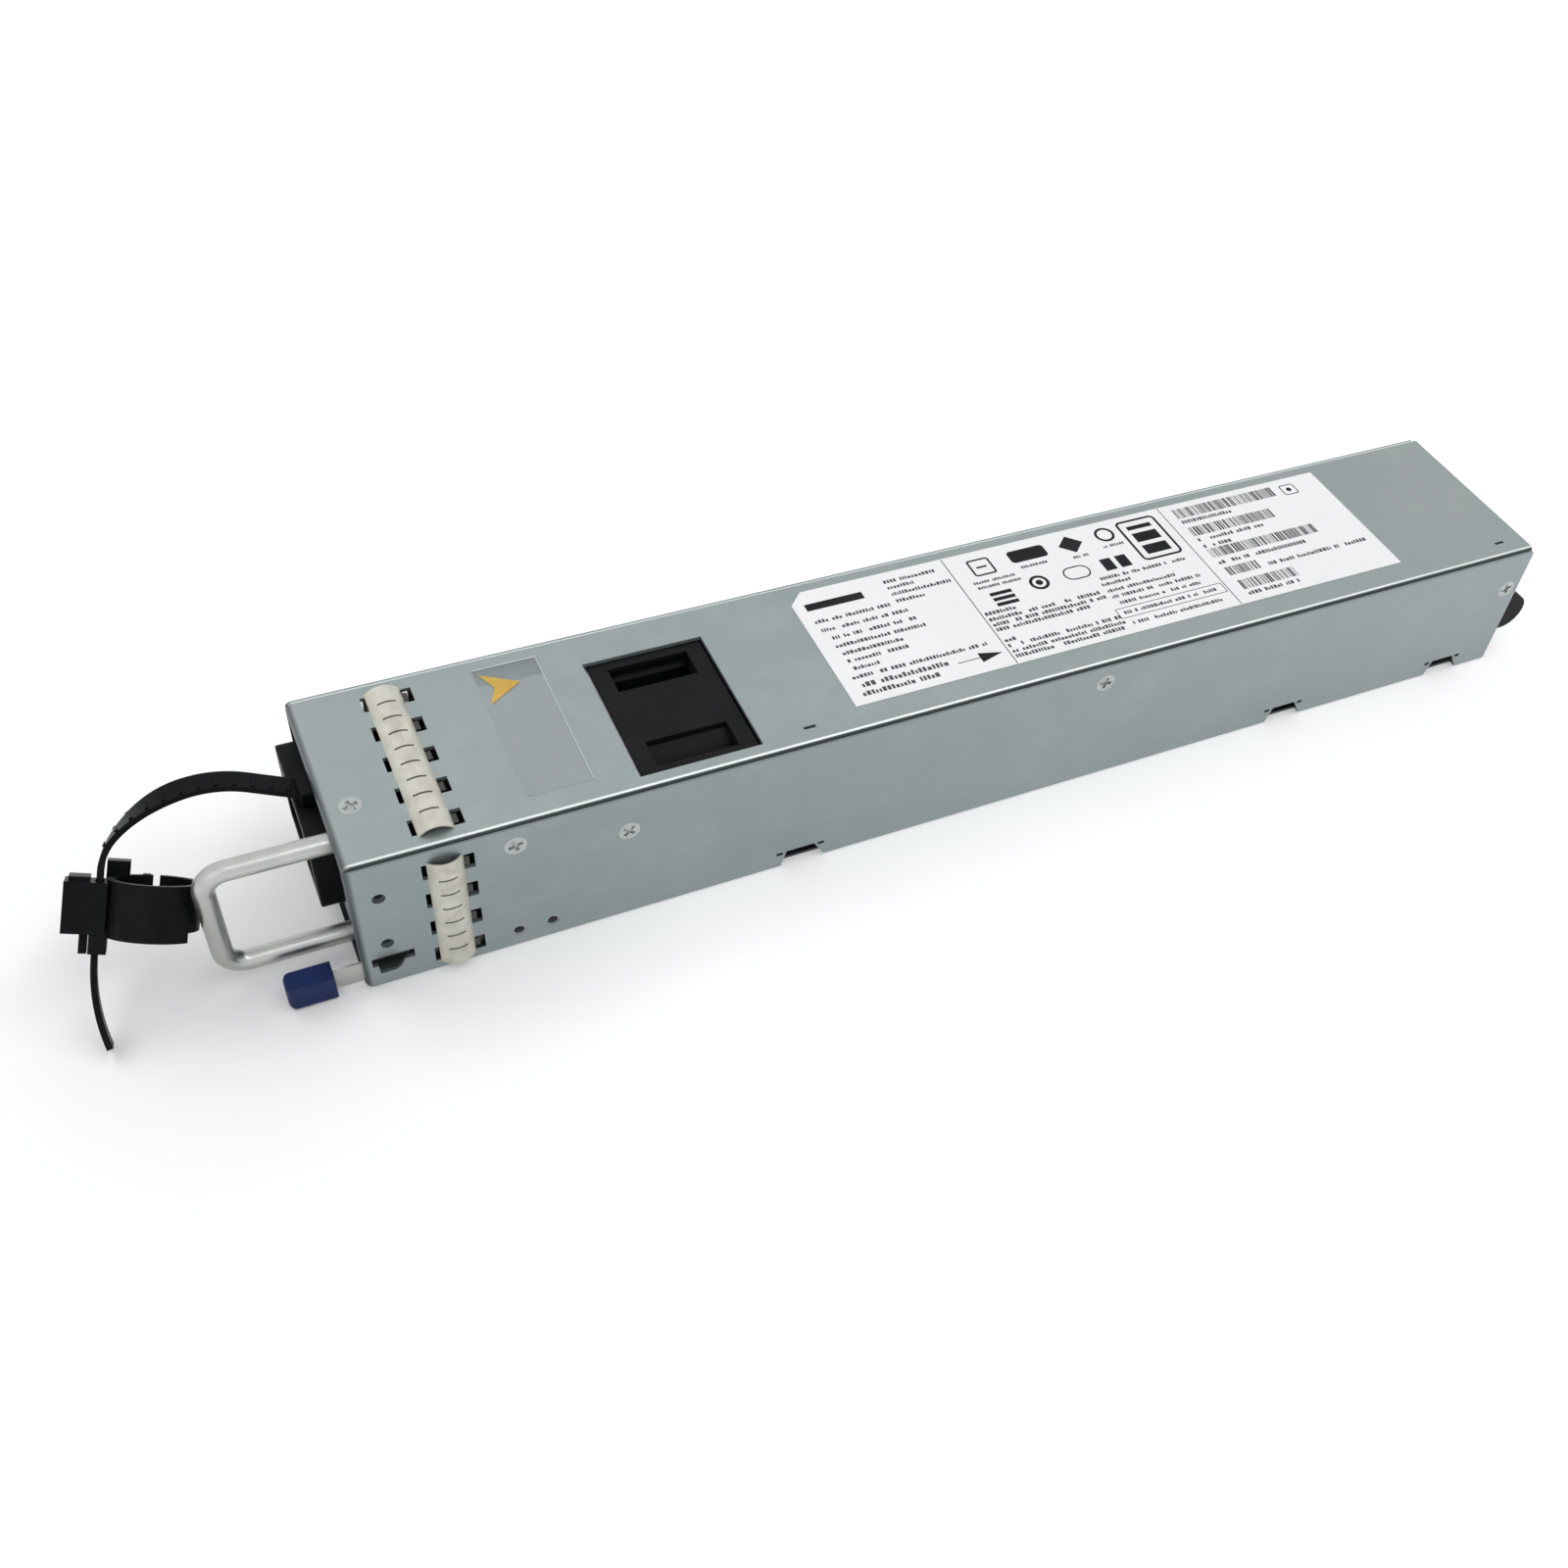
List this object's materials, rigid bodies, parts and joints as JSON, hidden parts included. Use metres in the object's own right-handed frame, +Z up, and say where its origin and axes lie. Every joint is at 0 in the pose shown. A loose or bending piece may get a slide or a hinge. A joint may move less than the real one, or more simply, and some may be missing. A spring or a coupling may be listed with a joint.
{
  "type": "hot-swap power supply module",
  "caption": "Long low steel-cased rack power supply with inlet, pull handle, side latch and cord strap in front, fan behind a cover window, blind-mate connector behind",
  "frame": {"origin": "centre of the case's underside", "axes": "+X from the front face (inlet, handle) to the rear connector, +Z up out of the cover, +Y to the side away from the latch"},
  "size_m": [0.3872, 0.0586, 0.0419],
  "materials": {
    "zinc_steel": "zinc-plated sheet, faintly blotched satin",
    "spring_steel": "plain spring steel leaf",
    "finger_metal": "tin-plated spring fingers",
    "handle_metal": "satin round bar",
    "screw_metal": "bright zinc screws",
    "black_plastic": "moulded, slightly glossy on edges",
    "strap_nylon": "flexible nylon moulding",
    "blue_plastic": "dark blue dipped cap",
    "lens_plastic": "clear light pipe",
    "label_stock": "white label stock with blank printed fields",
    "film_stock": "clear film",
    "contact_metal": "plated contacts",
    "board_laminate": "green laminate",
    "insulator": "thin insulating sheet",
    "lead_insulation": "insulated wire",
    "can_metal": "sleeved capacitor can",
    "film_case": "yellow film capacitor case",
    "ferrite": "ferrite core",
    "copper_wire": "enamelled winding",
    "sink_metal": "extruded fins",
    "fuse_body": "ceramic tube with plated ends"
  },
  "bodies": {
    "case": {"base_tray": "zinc_steel", "top_cover": "zinc_steel", "front_panel": "zinc_steel", "rear_panel": "zinc_steel", "fan_bracket": "zinc_steel", "cover_screw": "screw_metal", "side_screws": "screw_metal", "handle_screws": "screw_metal", "board_screws": "screw_metal", "latch_rivets": "screw_metal", "board_pillars": "screw_metal", "emi_strip_top": "finger_metal", "emi_strip_near": "finger_metal", "emi_strip_far": "finger_metal", "rating_label": "label_stock", "clear_film": "film_stock", "inlet_housing": "black_plastic", "inlet_pins": "contact_metal", "pull_handle": "handle_metal", "status_lenses": "lens_plastic", "retention_strap": "strap_nylon", "fan_frame": "black_plastic", "fan_stator": "copper_wire", "fan_bearing": "contact_metal", "main_board": "board_laminate", "filter_board": "board_laminate", "insulating_sheet": "insulator", "filter_choke": "copper_wire", "film_capacitor": "film_case", "input_fuse": "fuse_body", "line_leads": "lead_insulation", "bulk_capacitor": "can_metal", "boost_choke": "copper_wire", "primary_heatsink": "sink_metal", "secondary_heatsink": "sink_metal", "power_transistors": "black_plastic", "transformer_core": "ferrite", "transformer_winding": "copper_wire", "output_choke": "ferrite", "output_capacitors": "can_metal", "output_busbars": "contact_metal", "output_connector": "black_plastic", "power_blades": "contact_metal", "signal_pins": "contact_metal"},
    "rotor": {"fan_rotor": "black_plastic"},
    "latch": {"latch_spring": "spring_steel", "latch_cap": "blue_plastic"},
    "clamp": {"cord_clamp": "strap_nylon"}
  },
  "joints": [
    {"name": "fan_spin", "type": "hinge", "parent": "case", "child": "rotor", "pos_m": [-0.07985, -0.0035, 0.02], "axis": [1, 0, 0], "continuous": true},
    {"name": "latch_press", "type": "hinge", "parent": "case", "child": "latch", "pos_m": [-0.11785, -0.0249, 0.0054], "axis": [0, 0, -1], "range_deg": [0, 3.7], "stiffness_Nm_per_rad": 1.6},
    {"name": "clamp_slide", "type": "slide", "parent": "case", "child": "clamp", "axis": [-0.3322, -0.6063, -0.7226], "range_m": [-0.0008, 0.006]}
  ]
}
